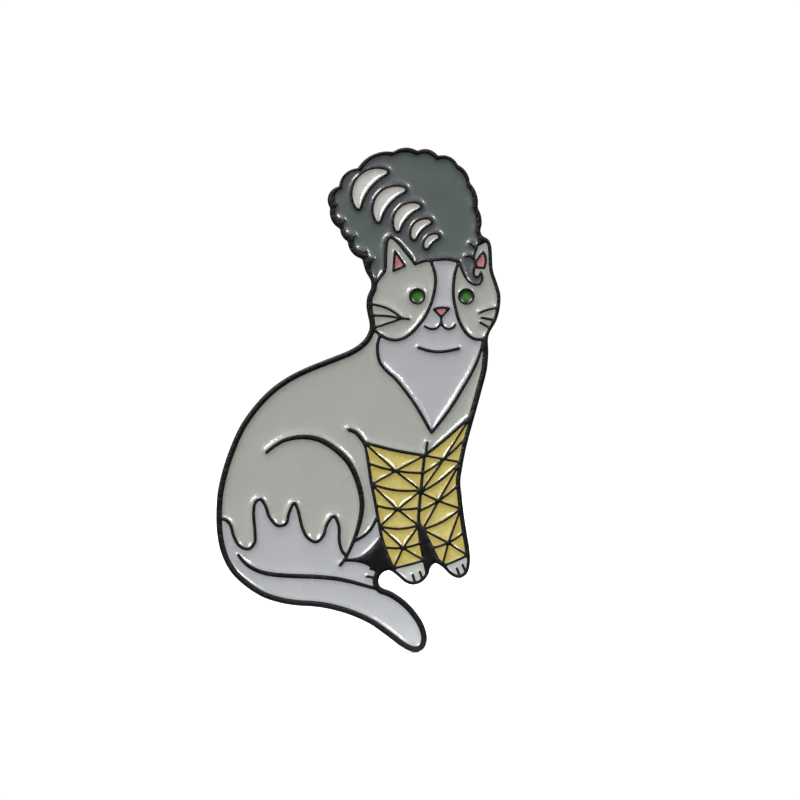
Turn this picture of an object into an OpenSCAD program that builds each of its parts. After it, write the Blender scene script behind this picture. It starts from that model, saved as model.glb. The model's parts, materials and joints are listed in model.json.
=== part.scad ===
// A soft-enamel lapel pin: a seated cat with a tall curly quiff and leg warmers, on two posts with
// butterfly clutches. The picture faces -Y and stands along +Z. The origin is the middle of the
// plate's flat back, and the posts leave it along +Y.

/* [Plate] */
// Height of the pin, from the end of the tail to the top of the quiff
pin_h = 50.5; // [48:0.5:60]
// Thickness of the plate at its raised lines
plate_t = 1.5; // [1.3:0.1:2]
// Thickness of the metal left under the enamel
floor_t = 0.9; // [0.8:0.05:1]
// Depth of the enamel's surface below the raised lines
enamel_drop = 0.25; // [0.1:0.05:0.3]
// Width of the raised border round the pin
border_w = 0.6; // [0.5:0.05:0.7]
// Width of the narrow border beside the right cheek
cheek_border_w = 0.38; // [0.3:0.02:0.5]
// Width of the border beside the legs
leg_border_w = 0.48; // [0.4:0.02:0.6]
// Width of the border round the paws
paw_border_w = 0.34; // [0.3:0.02:0.5]
// Width of a bold raised line
bold_w = 0.4; // [0.34:0.02:0.44]
// Width of a plain raised line
line_w = 0.32; // [0.28:0.02:0.36]
// Width of a fine raised line
fine_w = 0.25; // [0.2:0.01:0.3]
// Width of the raised ring round an eye
eye_ring_w = 0.2; // [0.16:0.02:0.24]

/* [Posts] */
// Diameter of a post
post_d = 1.1; // [1:0.05:1.2]
// Length of a post beyond the back of the plate
post_len = 8; // [7.5:0.5:10]
// Diameter of the flat head at a post's foot
head_d = 2; // [1.6:0.1:2.4]
// Depth of the socket in the plate that the head is brazed into
socket_depth = 0.4; // [0.3:0.05:0.5]
// Length of the cone at a post's tip
tip_len = 1.1; // [0.8:0.1:1.4]
// Length of the plain shank that takes the cloth
shank_len = 2.1; // [2:0.1:2.5]
// Width of a ring notch round a post
notch_w = 0.6; // [0.55:0.05:0.7]
// Depth of a ring notch
notch_depth = 0.1; // [0.05:0.01:0.12]

/* [Clutches] */
// Gap between the plate and a clutch, filled by the cloth
cloth_gap = 2.2; // [2.1:0.1:2.6]
// Diameter of a clutch's base dish
dish_d = 11.2; // [10.8:0.1:12]
// Radial clearance of the dish's hole round the post
dish_clearance = 0.07; // [0.05:0.01:0.1]
// Thickness of the dish's sheet
dish_t = 0.4; // [0.3:0.05:0.45]
// Height of the cover's top above the front of the dish
cover_h = 3.9; // [3.8:0.1:4.2]
// Thickness of the cover's sheet
cover_t = 0.35; // [0.3:0.05:0.4]
// Thickness of a wing's sheet
wing_t = 0.45; // [0.35:0.05:0.5]
// Width of a wing where it leaves the cover
wing_w = 4.4; // [4:0.1:4.6]
// Diameter of the spring's wire
wire_d = 0.45; // [0.3:0.05:0.5]

/* [Hidden] */
$fn = 48;
// Bands of each leg warmer, and curl highlights in the quiff
BANDS = 6;
CURLS = 5;

// The picture's points are given for a pin this tall, and k takes them to the real height
drawn_h = 50.5;
k = pin_h / drawn_h;
// Turn between two points worked out along a curve, in degrees, and the longest gap between them
turn_step = 12;
gap_step = 1.6;
// Half the width of the narrowest sliver of enamel that is kept
sliver = 0.06;
post_r = post_d / 2;
tip_r = 0.12;
upper_post = [5.5, 18] * k;
lower_post = [-2.5, -9.5] * k;
black_metal = [0.12, 0.12, 0.13];
dark_metal = [0.3, 0.3, 0.31];
brass = [0.8, 0.65, 0.32];
coat_grey = [0.66, 0.67, 0.64];
pale_grey = [0.72, 0.73, 0.76];
quiff_grey = [0.35, 0.38, 0.38];
cream = [0.8, 0.8, 0.77];
pink = [0.8, 0.48, 0.5];
green = [0.12, 0.45, 0.08];
yellow = [0.84, 0.76, 0.38];

/* Curves */

function unit(v) = v / norm(v);
// Slope at b of a smooth curve through a, b and c, for one unit of chord
function slope(a, b, c) =
    let(u = norm(b - a), v = norm(c - b)) ((b - a) * v / u + (c - b) * u / v) / (u + v);
function end_slope(a, b, c) = 1.5 * unit(b - a) - 0.5 * slope(a, b, c);
function slope_at(p, i) =
    let(n = len(p) - 1)
    n == 1 ? unit(p[1] - p[0])
    : i == 0 ? end_slope(p[0], p[1], p[2])
    : i == n ? -end_slope(p[n], p[n - 1], p[n - 2])
    : slope(p[i - 1], p[i], p[i + 1]);
function between(a, b, sa, sb, t) =
    let(d = norm(b - a))
    a * (2 * t ^ 3 - 3 * t ^ 2 + 1) + sa * d * (t ^ 3 - 2 * t ^ 2 + t)
    + b * (3 * t ^ 2 - 2 * t ^ 3) + sb * d * (t ^ 3 - t ^ 2);
function turn(u, v) = acos(min(1, unit(u) * unit(v)));
// Points of a smooth curve through the points of p, its last one left out
function open_curve(p) =
    [for (i = [0:len(p) - 2])
        let(a = p[i], b = p[i + 1], sa = slope_at(p, i), sb = slope_at(p, i + 1))
        let(n = ceil(max((turn(sa, b - a) + turn(b - a, sb)) / turn_step, norm(b - a) / gap_step)))
        for (j = [0:n - 1]) between(a, b, sa, sb, j / n)];
function curve(p) = concat(open_curve(p * k), [p[len(p) - 1] * k]);
// Points of a round arc from a to b, which rises by h on its left side, its last one left out
function arc(a, b, h) =
    let(d = norm(b - a), u = (b - a) / d, side = [-u.y, u.x], half = 2 * atan(2 * h / d))
    let(r = d / 2 / sin(half), centre = (a + b) / 2 - side * r * cos(half))
    let(n = ceil(2 * abs(half) / turn_step))
    [for (j = [0:n - 1]) let(w = half * (2 * j / n - 1)) centre + r * (u * sin(w) + side * cos(w))];
// Round arcs between cusps: each row is a cusp and the rise of the arc that starts there
function scallops(rows) =
    [for (i = [0:len(rows) - 2])
        let(a = [rows[i][0], rows[i][1]], b = [rows[i + 1][0], rows[i + 1][1]])
        each arc(a * k, b * k, rows[i][2] * k)];
function reversed(p) = [for (i = [len(p) - 1:-1:0]) p[i]];
function slice(p, first, last) = [for (i = [first:last]) p[i]];
function direction(p, i) = unit(p[min(i + 1, len(p) - 1)] - p[max(i - 1, 0)]);
// Closed outline of a ribbon of width w along p, wider by swell on each side halfway along
function ribbon(p, w, swell) =
    let(n = len(p) - 1)
    let(edge = [for (i = [0:n])
        let(d = direction(p, i)) [-d.y, d.x] * (w / 2 + swell * sin(180 * i / n))])
    concat([for (i = [0:n]) p[i] + edge[i]], [for (i = [n:-1:0]) p[i] - edge[i]]);

/* The picture's outlines, in millimetres from the middle of the plate, X to the right, Z up */

// Outer scallops of the quiff, from the left cheek over the top to the right ear
quiff_outside = [
    [1.3, 11.75, 0.12], [0.4, 14.05, 0.38], [-1.05, 15.8, 0.2], [-1.8, 17.05, 0.4],
    [-2.8, 19.15, 0.65], [-1.9, 21.35, 0.5], [-0.05, 23.15, 0.6], [3.5, 24.8, 0.37],
    [5.95, 24.9, 0.4], [8, 24.4, 0.4], [10, 23.5, 0.3], [11.2, 21.7, 0.3], [12, 19.2, 0.25],
    [12.25, 16.85, 0]];
// Scallops of the quiff's enamel
quiff_inside = [
    [1.8, 12.1, 0.45], [1.7, 14.1, 0.3], [0.85, 14.9, 0.75], [-0.15, 16.45, 0.7],
    [-1.25, 17.95, 0.6], [-2.05, 19.45, 0.5], [-1.55, 21.1, 0.7], [0.35, 22.8, 0.65],
    [3.45, 24.35, 0.35], [5.85, 24.4, 0.4], [7.85, 23.9, 0.5], [9.8, 23.1, 0.3],
    [10.85, 21.35, 0.3], [11.4, 19.25, 0.25], [11.75, 16.85, 0.12], [11.95, 15.5, 0]];
ear_right_outside = [[12.25, 16.85], [12.45, 16.4], [12.8, 16.2], [13.05, 16.05]];
cheek_right_outside = [
    [13.05, 16.05], [13.28, 15.6], [13.4, 14.8], [13.5, 13], [13.95, 11.6], [14.25, 10.5], [14.2, 9.2],
    [13.9, 8], [13.5, 7.2], [13.05, 6.3]];
flank_outside = [
    [13.05, 6.3], [13.05, 4.7], [12.9, 2.95], [12.45, 1.15], [11.9, -0.9], [11.35, -2.85],
    [10.85, -4.75], [10.45, -6.8], [10.25, -8.2], [10.4, -9.75], [10.65, -11.8], [10.95, -13.7],
    [11.2, -15.35], [11.2, -16.5], [10.85, -17.5], [10.15, -17.9], [9.3, -17.6], [8.4, -16.75],
    [7.7, -16.4], [7.3, -16.75], [7.05, -17.5], [6.35, -18.3], [5.45, -18.55], [4.7, -18.3],
    [3.95, -17.65], [3.05, -17.1], [2.4, -17.4], [2.05, -18.15], [2.15, -18.6], [3.3, -19.2],
    [4.6, -20.05], [5.8, -21.3], [6.7, -22.85], [6.9, -24.05], [6.6, -24.9], [5.8, -25.3],
    [5.1, -25.15], [3.4, -24.05], [1.4, -22.6], [-1.3, -21.4], [-3.55, -20.85], [-7.1, -20.5],
    [-9.4, -19.85], [-11.2, -18.75], [-12.75, -17.25], [-13.6, -15.65], [-14.05, -13.9],
    [-14.2, -11.75], [-14.05, -9.35], [-13.6, -7.25], [-12.8, -4.85], [-11.8, -2.65],
    [-10.4, -0.65], [-8.7, 1.1], [-7, 2.3], [-4.5, 3.5], [-2.2, 4.4], [-0.1, 5.4], [0.7, 6.15],
    [1.15, 7.2], [0.95, 8.5], [0.82, 9.55], [0.98, 10.5], [1.28, 11.15], [1.3, 11.75]];

ear_left_outer = [
    [1.4, 10.7], [1.83, 11.7], [2.25, 12.3], [2.66, 12.85], [2.76, 13.65], [2.8, 14.95],
    [3, 16.05], [3.2, 16.3]];
ear_left_inner = [[3.2, 16.3], [3.5, 16.15], [4.5, 15.1], [5.25, 14.15], [5.7, 13.55]];
forehead = [[5.7, 13.55], [6.7, 13.88], [7.95, 14], [9.1, 14.02], [10.05, 13.8]];
forehead_left = [[5.7, 13.55], [6.7, 13.88], [7.25, 13.95]];
forehead_right = [[7.25, 13.95], [7.95, 14], [9.1, 14.02], [10.05, 13.8]];
// The curl that hangs over the right ear, down its right side and back up its left
lock_right = [
    [11.95, 15.5], [11.8, 14.95], [11.58, 14.25], [11.74, 13.55], [11.56, 12.75], [11.66, 12.35],
    [11.92, 12.22], [12.14, 12.42], [12.27, 12.78]];
lock_left = [
    [12.27, 12.78], [12.42, 12.05], [12.1, 11.55], [11.6, 11.5], [11.12, 11.78], [10.6, 12.5],
    [10.15, 13.55], [10.05, 13.8]];
lock_fold = [[10.77, 14.3], [11.15, 14.35], [11.4, 14.2], [11.62, 13.9]];
quiff_tick = [[11.2, 15.6], [11.5, 15.4], [11.82, 15]];

cheek_left_edge = [
    [7.25, 13.95], [7.56, 13.1], [7.75, 12.2], [7.7, 11.2], [7.5, 10.25], [7.15, 9.2],
    [6.7, 8.3], [5.95, 7.3], [5.2, 6.55], [4.45, 6.1], [3.7, 5.95], [2.9, 6.1], [2.2, 6.5],
    [1.6, 7]];
cheek_right_edge = [
    [10.05, 13.8], [9.73, 12.75], [9.55, 11.5], [9.55, 10.3], [9.73, 9.25], [10.08, 7.95],
    [10.57, 7], [11.2, 6.3], [11.97, 6], [12.55, 6.1], [13.1, 6.5]];
whisker_root = [4.43, 8.1];
whiskers_left = [
    [[1.3, 9.55], [2.96, 9.1], whisker_root], [[1.3, 8.4], [2.9, 8.35], whisker_root],
    [[1.4, 7.1], [2.9, 7.6], whisker_root], [whisker_root, [5.1, 8.05]]];
whiskers_right = [
    [[12.11, 8.65], [13, 9], [14, 9.2]], [[12.3, 8.2], [13.8, 7.9]],
    [[12.2, 7.72], [13.4, 7.05]]];
inner_ear_left = [[3.7, 14.85], [4.72, 13.38], [3.53, 12.85]];
inner_ear_right = [
    [12.5, 14.8], [12.68, 14.5], [12.76, 13.65], [12.6, 13.15], [11.95, 13.2], [11.72, 13.7]];
eye_left = [5.92, 10.33];
eye_right = [10.82, 10.31];
eye_r = 0.64;
nose = [[7.55, 9.05], [8.34, 9.2], [9.13, 9.13], [8.32, 8.25]];
mouth = [
    [[8.32, 8.25], [8.32, 7.75]],
    [[8.32, 7.8], [8.58, 7.25], [9.02, 7.05], [9.45, 7.17], [9.75, 7.5]],
    [[8.32, 7.8], [8.02, 7.25], [7.55, 7.05], [7.1, 7.1], [6.65, 7.35]]];
chin = [[6.05, 5.2], [7, 4.9], [7.97, 4.77], [8.95, 4.85], [10.07, 5.1]];
bib_left = [
    [2.25, 6.45], [2.03, 5.9], [1.97, 4.6], [2.2, 3.7], [2.8, 2.93], [3.77, 2.05], [4.66, 0.95],
    [5.74, -0.55], [6.63, -2.05], [7.34, -3.3]];
bib_right = [
    [7.34, -3.3], [8.24, -2.2], [9.31, -0.75], [10.3, 0.85], [11.27, 2.5], [11.9, 3.8],
    [12.35, 5.1], [12.55, 6.1]];

drips = [
    [-14.1, -12.1], [-13.5, -11.95], [-12.9, -12.35], [-12.4, -13.75], [-11.85, -14.65],
    [-10.95, -14.95], [-10.4, -14.45], [-10.3, -13.25], [-10.44, -11.35], [-10.2, -10.2],
    [-9.8, -9.95], [-9.36, -10.45], [-8.8, -11.85], [-7.9, -12.65], [-7.25, -12.45],
    [-6.9, -11.35], [-6.36, -10.35], [-6, -11.1], [-5.6, -12.75], [-4.96, -13.9],
    [-4.2, -14.25], [-3.56, -13.75], [-3.04, -12.35], [-2.4, -11.65], [-2, -12.35],
    [-1.83, -14.4], [-1.5, -15.3], [-1.13, -15.65]];
thigh = [
    [-9.17, -5.3], [-7.64, -4.2], [-5.72, -3.75], [-3.94, -4], [-2.3, -4.95], [-0.9, -6.35],
    [0, -8.3], [0.4, -10.45], [0.08, -12.6], [-0.5, -14.3], [-1.13, -15.65]];
hock = [[-1.13, -15.65], [-1.4, -16.1], [-1.8, -16.6]];
elbow = [[-0.94, -3], [-0.24, -3.3], [0.3, -3.9], [0.6, -4.3]];
hind_foot_top = [[-0.45, -14.2], [0.4, -13.75], [1.16, -13.1], [1.85, -11.9]];
hind_foot_bottom = [[-1.4, -16.05], [0.24, -15.85], [1.3, -15.1], [2.35, -13.8]];
hind_paw_top = [[-1.35, -16.05], [0, -16.15], [0.85, -16.4], [1.55, -16.85], [2, -17.4]];
tail_top = [
    [-11.97, -15.55], [-11.2, -16.45], [-9.7, -17.25], [-7.4, -17.6], [-4.5, -17.72],
    [-2, -17.95], [0.3, -18.5], [2.2, -19.05]];
hind_toes = [
    [[1.2, -16.95], [1.55, -16.98], [2, -17.25]],
    [[0.85, -17.72], [1.3, -17.75], [1.75, -18.1]]];
// How much wider a brushed line is on each side, halfway along
thigh_swell = 0.13;
tail_swell = 0.07;

// The sides of the legs, from the top down, and the sock lines above the paws
leg_left_outer = [
    [0.6, -4.3], [0.95, -5.8], [1.3, -8.2], [1.65, -9.9], [2.05, -12.1], [2.4, -13.9],
    [3.05, -15.8], [3.6, -17]];
legs_middle = [
    [6.65, -5.6], [6.55, -6.45], [6.36, -8.35], [6.17, -10.25], [6.04, -12.3], [6.22, -13.95],
    [6.5, -15.6], [6.9, -17.4]];
leg_right_inner = [[6.04, -12.3], [6.9, -13.75], [7.6, -15.2], [8.45, -16.75], [9.1, -17.6]];
leg_right_outer = [
    [11.35, -1.6], [10.95, -2.9], [10.5, -4.8], [10.15, -6.8], [9.95, -8.2], [10.1, -9.8],
    [10.4, -11.8], [10.7, -13.7], [10.95, -15.6]];
chest_tick = [[6.94, -4.25], [6.8, -5.3]];
// How far a ring hangs in its middle: the top line, the rings and the sock line
ring_sags = [0.12, 0.28, 0.02];
toes = [
    [[5.47, -17.5], [5.68, -18.25]], [[6.17, -17.2], [6.42, -17.9]], [[9.87, -16.85], [10.15, -17.6]],
    [[10.44, -16.5], [10.78, -17.25]]];

/* Leg warmers: slanting rings with a zigzag between each two of them */

function side_x(side, z) = lookup(z, [for (p = reversed(side)) [p[1], p[0]]]);
function left_inner_x(z) = side_x(legs_middle, z);
function right_inner_x(z) = z > -12.3 ? side_x(legs_middle, z) : side_x(leg_right_inner, z);
// Heights of a ring's outer and inner end: ring 0 is the top line, ring BANDS the sock line
function left_ring(i) =
    let(a = -4.3 - 12.6 * i / BANDS, b = -5.6 - 10.5 * i / BANDS)
    [[side_x(leg_left_outer, a), a], [left_inner_x(b), b]];
function right_ring(i) =
    let(a = -5.6 - 11.1 * i / BANDS, b = -1.6 - 14 * i / BANDS)
    [[right_inner_x(a), a], [side_x(leg_right_outer, b), b]];
function ring(leg, i) = leg == "left" ? left_ring(i) : right_ring(i);
function sag(i) = ring_sags[i == 0 ? 0 : i == BANDS ? 2 : 1];
function ring_middle(leg, i) = (ring(leg, i)[0] + ring(leg, i)[1]) / 2 - [0, sag(i)];
function ring_curve(leg, i) = curve([ring(leg, i)[0], ring_middle(leg, i), ring(leg, i)[1]]);
// A band's zigzag points down in the odd bands and up in the even ones
function zigzag(leg, i) =
    i % 2 == 1 ? [ring(leg, i - 1)[0], ring_middle(leg, i), ring(leg, i - 1)[1]]
    : [ring(leg, i)[0], ring_middle(leg, i - 1), ring(leg, i)[1]];

module band_cell(leg, i) {
    cell() difference() {
        intersection() {
            polygon(concat(ring_curve(leg, i - 1), reversed(ring_curve(leg, i))));
            inside(leg_border_w);
        }
        for (j = [i - 1, i]) stroke(ring_curve(leg, j), j == 0 ? line_w : fine_w);
        for (j = [0, 1]) stroke([zigzag(leg, i)[j] * k, zigzag(leg, i)[j + 1] * k], fine_w - 0.02);
        leg_sides();
    }
}

module leg_sides() {
    for (side = [leg_left_outer, legs_middle, leg_right_inner]) stroke(curve(side), line_w);
}

module paw_cell(leg) {
    bottom = leg == "left" ? [[7, -17.5], [6, -19], [3, -18]] : [[12, -17], [10, -19], [8, -17]];
    cell() difference() {
        intersection() {
            polygon(concat(ring_curve(leg, BANDS), bottom * k));
            inside(paw_border_w);
        }
        stroke(ring_curve(leg, BANDS), fine_w);
        for (toe = toes) stroke(curve(toe), fine_w);
        leg_sides();
    }
}

/* Raised lines */

module stroke(p, w, swell = 0) {
    polygon(ribbon(p, w, swell));
    for (end = [p[0], p[len(p) - 1]]) translate(end) circle(d = w, $fn = 20);
}

module closed_stroke(p, w) {
    for (i = [0:len(p) - 1]) stroke([p[i] * k, p[(i + 1) % len(p)] * k], w);
}

module head_lines() {
    for (p = [ear_left_outer, ear_left_inner, forehead, cheek_left_edge, cheek_right_edge, chin])
        stroke(curve(p), line_w);
    for (p = concat([lock_right, lock_left, lock_fold, quiff_tick], whiskers_left, whiskers_right, mouth))
        stroke(curve(p), fine_w);
}

module body_lines() {
    for (p = [bib_left, bib_right, drips, hind_foot_top, hind_foot_bottom, hind_paw_top, hock])
        stroke(curve(p), line_w);
    stroke(curve(thigh), line_w, thigh_swell);
    stroke(curve(tail_top), line_w, tail_swell);
    stroke(curve(elbow), bold_w);
    for (p = concat(hind_toes, [chest_tick])) stroke(curve(p), fine_w);
    for (leg = ["left", "right"]) stroke(ring_curve(leg, 0), line_w);
    leg_sides();
}

/* Enamel cells: each is the area between the centres of its lines, less the lines */

module silhouette() {
    polygon(concat(scallops(quiff_outside), open_curve(ear_right_outside * k),
        open_curve(cheek_right_outside * k), open_curve(flank_outside * k)));
}

module inside(w) {
    offset(delta = -w) silhouette();
}

module cell() {
    offset(delta = sliver) offset(delta = -sliver) children();
}

// Curl highlights: each row is the middle of a crescent's chord, its length and its slope
curls = [
    [1.6, 20.85, 4.9, 52], [3.5, 19.3, 4.4, 50], [5.2, 18, 3.6, 48], [6.55, 16.8, 2.7, 46],
    [7.55, 15.6, 2, 44]];
curl_outer_rise = 0.42;
curl_inner_rise = 0.12;
curl_tip_r = 0.16;

module curl_cell(i) {
    c = curls[i - 1];
    reach = [cos(c[3]), sin(c[3])] * c[2] / 2;
    a = ([c[0], c[1]] - reach) * k;
    b = ([c[0], c[1]] + reach) * k;
    offset(r = curl_tip_r, $fn = 16) offset(delta = -curl_tip_r)
        polygon(concat(arc(a, b, curl_outer_rise * c[2] * k), arc(b, a, -curl_inner_rise * c[2] * k)));
}

module quiff_cell() {
    cell() difference() {
        polygon(concat(scallops(quiff_inside), curve(lock_right), curve(lock_left),
            reversed(curve(forehead)), reversed(curve(ear_left_inner)),
            reversed(curve(ear_left_outer))));
        head_lines();
        for (i = [1:CURLS]) offset(delta = fine_w) curl_cell(i);
    }
}

module eye_ring(at) {
    translate(at * k) circle(r = eye_r * k + eye_ring_w, $fn = 32);
}

module face_left_cell() {
    outside = [[0, 7], [0, 10.7]];
    cell() difference() {
        intersection() {
            polygon(concat(curve(ear_left_outer), curve(ear_left_inner), curve(forehead_left),
                curve(cheek_left_edge), outside * k));
            inside(border_w);
        }
        head_lines();
        whisker_fan(0);
        whisker_fan(1);
        polygon(inner_ear_left * k);
        closed_stroke(inner_ear_left, fine_w);
        eye_ring(eye_left);
    }
}

module whisker_fan(i) {
    polygon(concat(curve(whiskers_left[i]), reversed(curve(whiskers_left[i + 1]))));
}

module whisker_wedge_cell(i) {
    cell() difference() {
        intersection() {
            whisker_fan(i);
            inside(border_w);
        }
        head_lines();
    }
}

module face_right_cell() {
    outside = [[15, 7], [15, 16], [12.95, 15.8], [11.95, 15.3]];
    cell() difference() {
        intersection() {
            polygon(concat(curve(cheek_right_edge), outside * k, curve(slice(lock_right, 1, 8)),
                curve(lock_left)));
            inside(cheek_border_w);
        }
        head_lines();
        polygon(inner_ear_right * k);
        closed_stroke(inner_ear_right, fine_w);
        eye_ring(eye_right);
    }
}

module inner_ear_cell(outline) {
    cell() difference() {
        polygon(outline * k);
        closed_stroke(outline, fine_w);
        head_lines();
    }
}

module eye_cell(at) {
    translate(at * k) circle(r = eye_r * k);
}

module nose_cell() {
    cell() difference() {
        polygon(nose * k);
        closed_stroke(nose, fine_w);
    }
}

module blaze_bib_cell() {
    cell() difference() {
        polygon(concat(curve(forehead_right), open_curve(slice(cheek_right_edge, 0, 9) * k),
            reversed(curve(bib_right)), reversed(curve(bib_left)),
            reversed(curve(slice(cheek_left_edge, 0, 12)))));
        head_lines();
        body_lines();
        polygon(nose * k);
        closed_stroke(nose, fine_w);
    }
}

module coat_cell() {
    neck = [[-16, 8], [0, 8], [1.6, 7]];
    chest = [[14.5, 6.1], [14.5, -1.6]];
    cell() difference() {
        intersection() {
            polygon(concat(neck * k, curve(bib_left), curve(bib_right), chest * k,
                reversed(ring_curve("right", 0)), reversed(ring_curve("left", 0)),
                curve(slice(leg_left_outer, 0, 4)), reversed(curve(hind_foot_top)),
                reversed(curve(drips)), [[-16, -12.1] * k]));
            inside(border_w);
        }
        head_lines();
        body_lines();
    }
}

module belly_tail_cell() {
    below = [[2.6, -18.5], [8, -20], [8, -27], [-16, -27], [-16, -12.1]];
    cell() difference() {
        intersection() {
            polygon(concat(curve(drips), curve(hind_paw_top), below * k));
            inside(border_w);
        }
        body_lines();
    }
}

module hind_foot_cell() {
    shin = [[2.1, -12.3], [2.4, -13.8]];
    cell() difference() {
        polygon(concat(curve(hind_foot_top), shin * k, reversed(curve(hind_foot_bottom)),
            [[-1.13, -15.65] * k]));
        body_lines();
    }
}

/* Solids */

// Extrudes a drawing from y = -from to y = -to
module front(from, to) {
    translate([0, -from, 0]) rotate([90, 0, 0]) linear_extrude(to - from) children();
}

module enamel(colour) {
    color(colour) front(floor_t, plate_t - enamel_drop) children();
}

module pocket() {
    front(floor_t, plate_t + 1) children();
}

module die_struck_plate() {
    color(black_metal) difference() {
        front(0, plate_t) silhouette();
        pocket() quiff_cell();
        for (i = [1:CURLS]) pocket() curl_cell(i);
        pocket() face_left_cell();
        pocket() face_right_cell();
        for (outline = [inner_ear_left, inner_ear_right]) pocket() inner_ear_cell(outline);
        for (i = [0, 1]) pocket() whisker_wedge_cell(i);
        pocket() blaze_bib_cell();
        for (at = [eye_left, eye_right]) pocket() eye_cell(at);
        pocket() nose_cell();
        pocket() coat_cell();
        pocket() belly_tail_cell();
        pocket() hind_foot_cell();
        for (leg = ["left", "right"]) {
            for (i = [1:BANDS]) pocket() band_cell(leg, i);
            pocket() paw_cell(leg);
        }
        for (at = [upper_post, lower_post]) on_post(at, -socket_depth) cylinder(d = head_d, h = 1);
    }
}

// Stands something up along +Y at a post, starting at height h above the plate's back
module on_post(at, h) {
    translate([at[0], h, at[1]]) rotate([-90, 0, 0]) children();
}

module post(at) {
    upper_notch = post_len - tip_len - 3 * notch_w;
    color(dark_metal) on_post(at, 0) rotate_extrude() polygon([
        [0, -socket_depth], [head_d / 2, -socket_depth], [head_d / 2, 0], [post_r, 0],
        [post_r, shank_len], [post_r - notch_depth, shank_len + notch_w / 2],
        [post_r, shank_len + notch_w], [post_r, upper_notch],
        [post_r - notch_depth, upper_notch + notch_w / 2], [post_r, upper_notch + notch_w],
        [post_r, post_len - tip_len], [tip_r, post_len], [0, post_len]]);
}

/* Clutches: in each, heights are measured from the front of its dish */

// Sheet metal of thickness t bent along p, as an outline
function sheet(p, t) =
    let(q = concat(open_curve(p), [p[len(p) - 1]]))
    let(edge = [for (i = [0:len(q) - 1]) let(d = direction(q, i)) [-d.y, d.x] * t / 2])
    concat([for (i = [0:len(q) - 1]) q[i] + edge[i]], [for (i = [len(q) - 1:-1:0]) q[i] - edge[i]]);

dish_r = dish_d / 2;
bore_r = post_r + dish_clearance;
// Heights of the flange that the cover turns on, between the dish and its rolled lip
flange_clearance = 0.06;
flange_top = dish_t + flange_clearance + cover_t;
lip_h = flange_top + flange_clearance;
rim_t = 0.45;
flange_r = dish_r - rim_t - 0.1;
boss_h = dish_t + 0.25;
// Half sizes of the cover's box outside, and the height where its windows start
box_x = 3.5;
box_z = 3.2;
window_h = 2.3;
// The wings: the middle of their sheet from the jaw to the tip, and their hinge
jaw_h = 1.42;
jaw_gap = 0.12;
jaw_clearance = 0.04;
wing_path = [
    [jaw_gap, jaw_h], [0.9, jaw_h], [1.7, jaw_h + 0.03], [2.12, 1.8], [2.3, 2.3], [2.7, 2.68],
    [3.4, 2.82], [4.3, 3.05], [5.2, 3.6], [5.75, 4.45]];
wing_tip_w = wing_w + 1.4;
// The knuckle that a wing rocks on, across its sheet
knuckle_at = [2.35, 2.4];
knuckle_r = 0.34;

module clutch_base(at) {
    color(brass) on_post(at, cloth_gap) rotate_extrude() polygon([
        [bore_r, 0], [dish_r - 0.3, 0], [dish_r, 0.3], [dish_r, lip_h + 0.2], [dish_r - 0.2, lip_h + 0.4],
        [dish_r - rim_t - 0.35, lip_h + 0.4], [dish_r - rim_t - 0.35, lip_h], [dish_r - rim_t, lip_h],
        [dish_r - rim_t, dish_t], [bore_r + 0.5, dish_t], [bore_r + 0.4, boss_h], [bore_r, boss_h]]);
}

module box(grow, from, to) {
    translate([0, 0, from]) linear_extrude(to - from)
        offset(r = 1 + grow) square([2 * box_x - 2, 2 * box_z - 2], center = true);
}

module clutch_cover(at) {
    color(brass) on_post(at, cloth_gap) difference() {
        union() {
            translate([0, 0, flange_top - cover_t]) cylinder(r = flange_r, h = cover_t);
            box(0, flange_top - cover_t, cover_h);
        }
        box(-cover_t, 0, cover_h - cover_t);
        translate([-box_x - 1, -wing_w / 2 - 0.15, window_h])
            cube([2 * box_x + 2, wing_w + 0.3, cover_h - cover_t - window_h]);
        cylinder(r = post_r + 0.35, h = cover_h + 1);
    }
}

module clutch_spring(at) {
    ring_r = 1.45;
    color("silver") on_post(at, cloth_gap + cover_h - cover_t - wire_d / 2)
        rotate_extrude() translate([ring_r, 0]) circle(d = wire_d, $fn = 24);
}

module wing(at, colour) {
    half = [
        [0, wing_w / 2], [3.8, wing_w / 2], [4.5, wing_tip_w / 2], [5.4, wing_tip_w / 2],
        [7, wing_w / 2 - 0.4]];
    plan = concat(half, [for (p = reversed(half)) [p[0], -p[1]]]);
    color(colour) translate([at[0], cloth_gap, at[1]]) difference() {
        union() {
            intersection() {
                linear_extrude(wing_tip_w, center = true) polygon(sheet(wing_path, wing_t));
                rotate([-90, 0, 0]) linear_extrude(cover_h + 3) polygon(plan);
            }
            translate([knuckle_at[0], knuckle_at[1], 0]) cylinder(r = knuckle_r, h = wing_w, center = true);
        }
        rotate([-90, 0, 0]) cylinder(r = post_r + jaw_clearance, h = cover_h);
    }
}

module clutch_wing_right(at) {
    wing(at, brass);
}

module clutch_wing_left(at) {
    translate([2 * at[0], 0, 0]) mirror([1, 0, 0]) wing(at, brass);
}

/* Nodes */

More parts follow.
